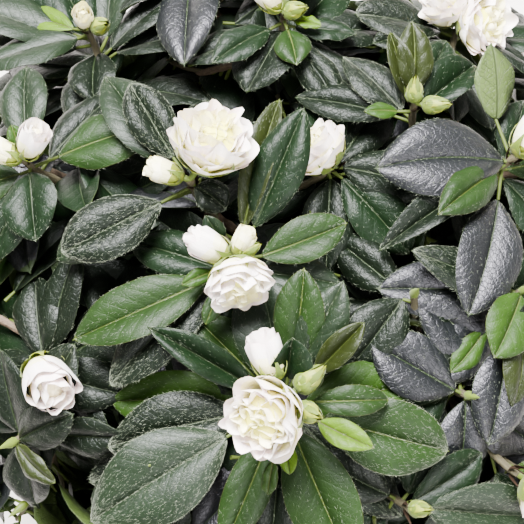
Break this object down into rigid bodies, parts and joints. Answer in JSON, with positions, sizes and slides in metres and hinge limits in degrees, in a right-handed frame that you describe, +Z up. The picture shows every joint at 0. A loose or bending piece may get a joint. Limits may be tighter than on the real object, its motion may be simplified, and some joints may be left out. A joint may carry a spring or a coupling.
{
  "type": "potted azalea shrub",
  "caption": "Compact evergreen azalea shrub with leafy shoots, white double flowers and green buds, growing in a plain clay pot.",
  "frame": {"origin": "middle of the pot's flat underside", "axes": "+Z up, -Z out of the pot's underside, -Y towards the side that the picture shows nearest"},
  "size_m": [0.3375, 0.3278, 0.3177],
  "materials": {
    "clay": "matte",
    "compost": "matte",
    "bark": "matte",
    "foliage": "satin"
  },
  "bodies": {
    "root": {"pot": "clay", "compost": "compost", "trunk": "bark", "bough_top": "bark", "bough_upper_1": "bark", "bough_upper_2": "bark", "bough_upper_3": "bark", "bough_upper_4": "bark", "bough_upper_5": "bark", "bough_upper_6": "bark", "bough_lower_1": "bark", "bough_lower_2": "bark", "bough_lower_3": "bark", "bough_lower_4": "bark", "bough_lower_5": "bark", "bough_lower_6": "bark", "bough_lower_7": "bark", "bough_lower_8": "bark", "bough_lower_9": "bark", "foliage_top": "foliage", "foliage_upper_1": "foliage", "foliage_upper_2": "foliage", "foliage_upper_3": "foliage", "foliage_upper_4": "foliage", "foliage_upper_5": "foliage", "foliage_upper_6": "foliage", "foliage_lower_1": "foliage", "foliage_lower_2": "foliage", "foliage_lower_3": "foliage", "foliage_lower_4": "foliage", "foliage_lower_5": "foliage", "foliage_lower_6": "foliage", "foliage_lower_7": "foliage", "foliage_lower_8": "foliage", "foliage_lower_9": "foliage"}
  },
  "joints": []
}
